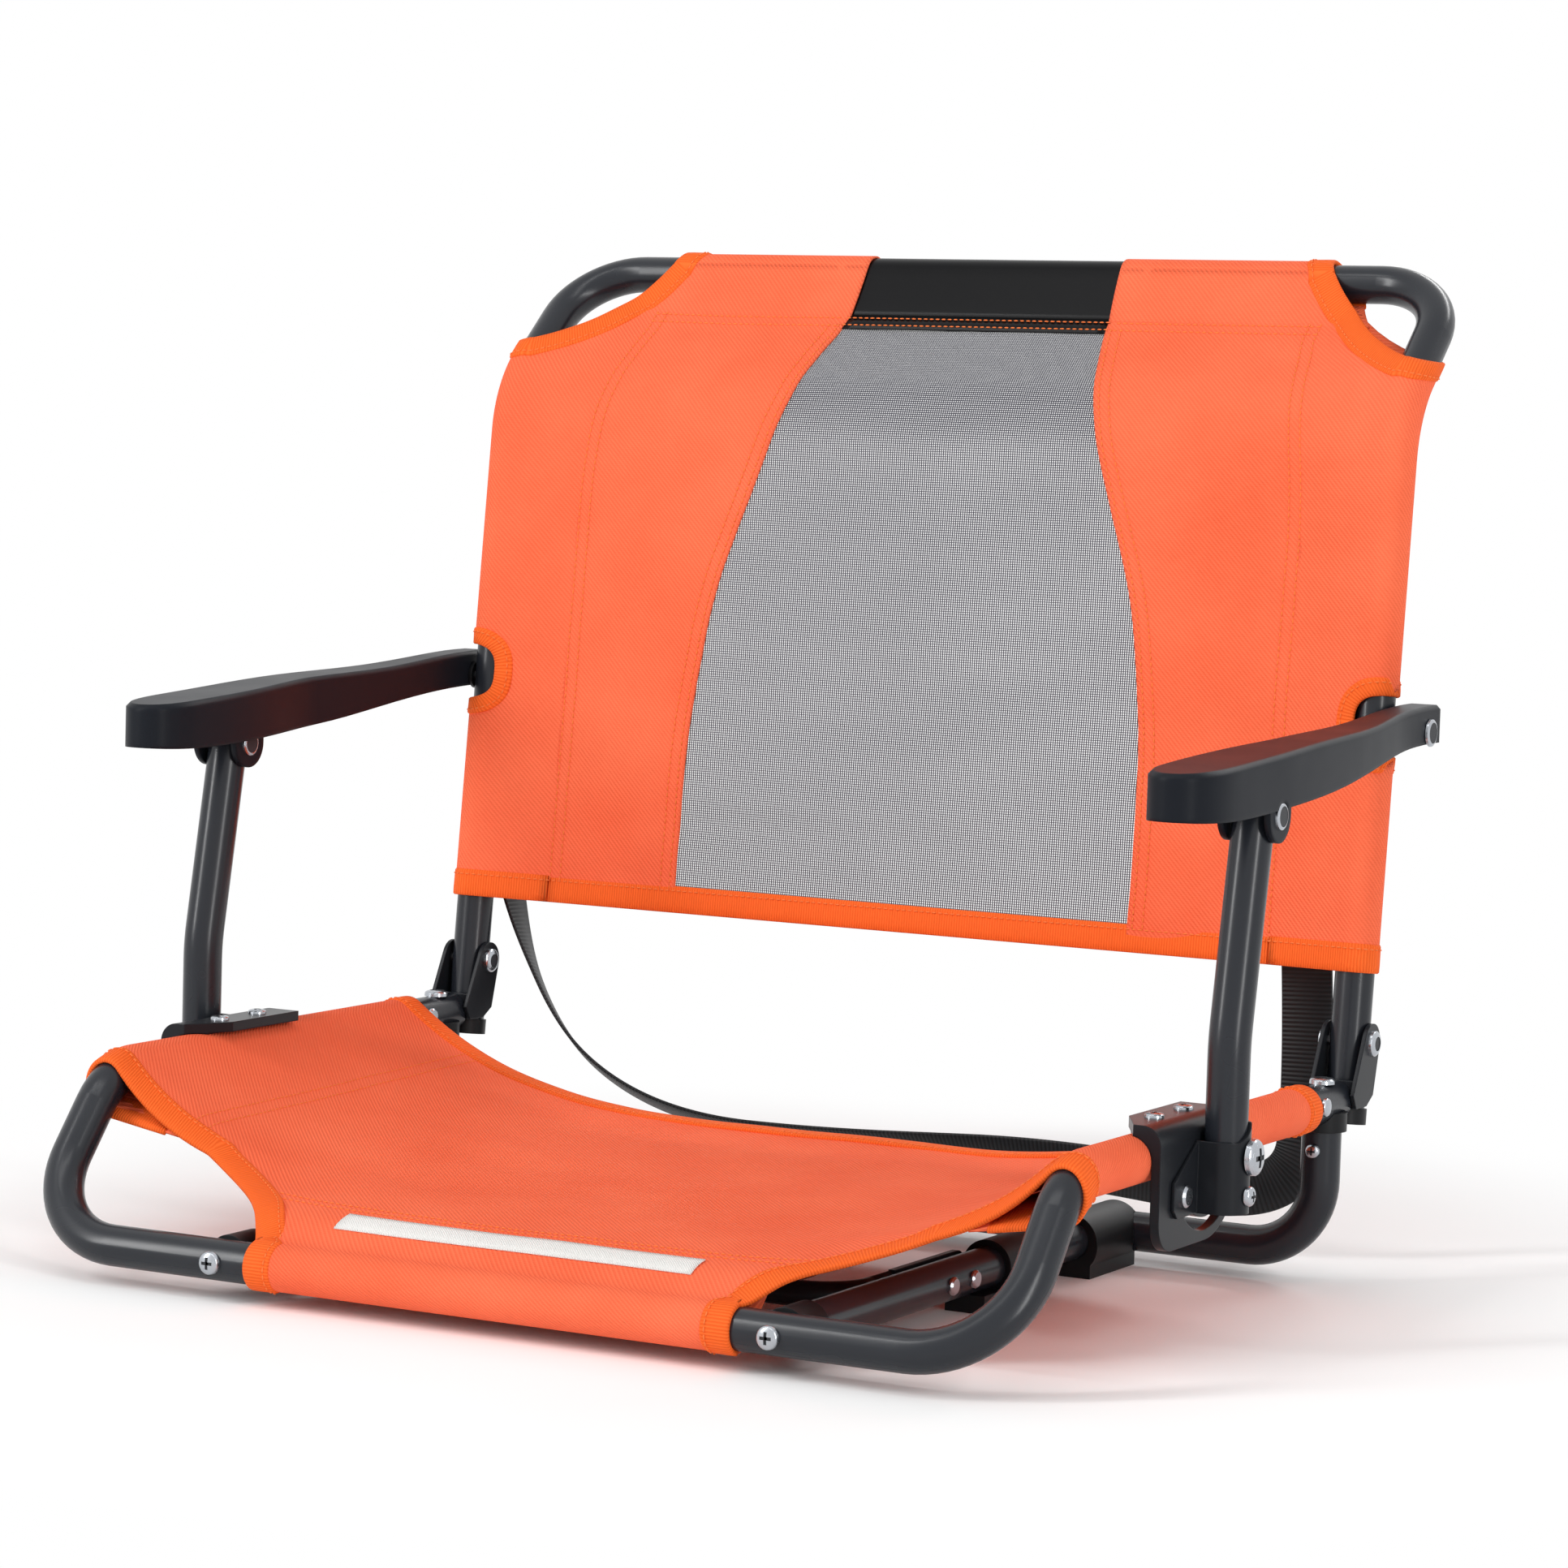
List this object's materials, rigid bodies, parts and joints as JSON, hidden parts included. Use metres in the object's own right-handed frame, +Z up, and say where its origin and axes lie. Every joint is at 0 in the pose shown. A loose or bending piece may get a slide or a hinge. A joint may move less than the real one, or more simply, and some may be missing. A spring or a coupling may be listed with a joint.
{
  "type": "folding stadium seat",
  "caption": "Low folding seat for a bench: bent tube frame, fabric sling seat and back with mesh, level armrests that fold with the back, carry strap and swing-down bench hook.",
  "frame": {"origin": "middle of the footprint at the height of the feet, without the carry strap", "axes": "+Z up, -Y towards the front bar, +X to the right as seen from the front"},
  "size_m": [0.5778, 0.4974, 0.4891],
  "materials": {
    "powder_coated_steel": "satin charcoal powder coat",
    "black_steel": "gloss black paint",
    "zinc_steel": "bright zinc plating",
    "black_plastic": "moulded, fine grain",
    "grey_plastic": "moulded, satin charcoal",
    "orange_fabric": "coated woven polyester",
    "black_mesh": "fine open mesh",
    "black_webbing": "ribbed webbing",
    "white_patch": "smooth sewn patch, left bare"
  },
  "bodies": {
    "seat_frame": {"seat_tube": "powder_coated_steel", "base_tube": "powder_coated_steel", "hook_bar": "black_steel", "hook_lug": "black_steel", "seat_sling": "orange_fabric", "label_patch": "white_patch", "rail_saddle_left": "black_plastic", "rail_saddle_right": "black_plastic", "strut_left": "powder_coated_steel", "strut_right": "powder_coated_steel", "front_saddle_left": "black_plastic", "front_saddle_right": "black_plastic", "rear_foot_left": "black_plastic", "rear_foot_right": "black_plastic", "mid_foot_left": "black_plastic", "mid_foot_right": "black_plastic", "hinge_bracket_left": "black_steel", "hinge_bracket_right": "black_steel", "hinge_pin_left": "zinc_steel", "hinge_pin_right": "zinc_steel", "arm_clamp_left": "black_steel", "arm_clamp_right": "black_steel", "arm_pivot_left": "zinc_steel", "arm_pivot_right": "zinc_steel", "clamp_screws": "zinc_steel", "rail_screws": "zinc_steel", "rail_rivets": "zinc_steel", "front_screws": "zinc_steel", "base_screws": "zinc_steel", "strut_rivets": "zinc_steel"},
    "back": {"back_tube": "powder_coated_steel", "mesh_panel": "black_mesh", "carry_strap": "black_webbing", "back_cap_left": "black_plastic", "back_cap_right": "black_plastic", "back_panel_left": "orange_fabric", "back_panel_right": "orange_fabric", "arm_bolt_left": "zinc_steel", "arm_bolt_right": "zinc_steel", "arm_spacer_left": "black_plastic", "arm_spacer_right": "black_plastic"},
    "bench_hook": {"bench_hook": "black_steel"},
    "armrest_left": {"armrest_left": "grey_plastic", "lug_bolt_left": "zinc_steel"},
    "post_left": {"post_left": "powder_coated_steel", "socket_left": "black_steel", "socket_screw_left": "zinc_steel", "stop_pin_left": "zinc_steel"},
    "armrest_right": {"armrest_right": "grey_plastic", "lug_bolt_right": "zinc_steel"},
    "post_right": {"post_right": "powder_coated_steel", "socket_right": "black_steel", "socket_screw_right": "zinc_steel", "stop_pin_right": "zinc_steel"}
  },
  "joints": [
    {"name": "back_fold", "type": "hinge", "parent": "seat_frame", "child": "back", "pos_m": [0, 0.13624, 0.114], "axis": [1, 0, 0], "range_deg": [0, 92]},
    {"name": "armrest_left_level", "type": "hinge", "parent": "back", "child": "armrest_left", "pos_m": [-0.274, 0.15191, 0.26318], "axis": [1, 0, 0], "range_deg": [-92, 0]},
    {"name": "post_left_swing", "type": "hinge", "parent": "seat_frame", "child": "post_left", "pos_m": [-0.274, -0.06876, 0.087], "axis": [1, 0, 0], "range_deg": [0, 92]},
    {"name": "armrest_right_level", "type": "hinge", "parent": "back", "child": "armrest_right", "pos_m": [0.274, 0.15191, 0.26318], "axis": [1, 0, 0], "range_deg": [-92, 0]},
    {"name": "post_right_swing", "type": "hinge", "parent": "seat_frame", "child": "post_right", "pos_m": [0.274, -0.06876, 0.087], "axis": [1, 0, 0], "range_deg": [0, 92]},
    {"name": "hook_swing", "type": "hinge", "parent": "seat_frame", "child": "bench_hook", "pos_m": [0, -0.13196, 0.018], "axis": [0, 1, 0], "range_deg": [0, 90]}
  ],
  "couplings": [
    {"joint": "armrest_left_level", "follows": "back_fold", "ratio": -1},
    {"joint": "post_left_swing", "follows": "back_fold", "ratio": 1},
    {"joint": "armrest_right_level", "follows": "back_fold", "ratio": -1},
    {"joint": "post_right_swing", "follows": "back_fold", "ratio": 1}
  ]
}
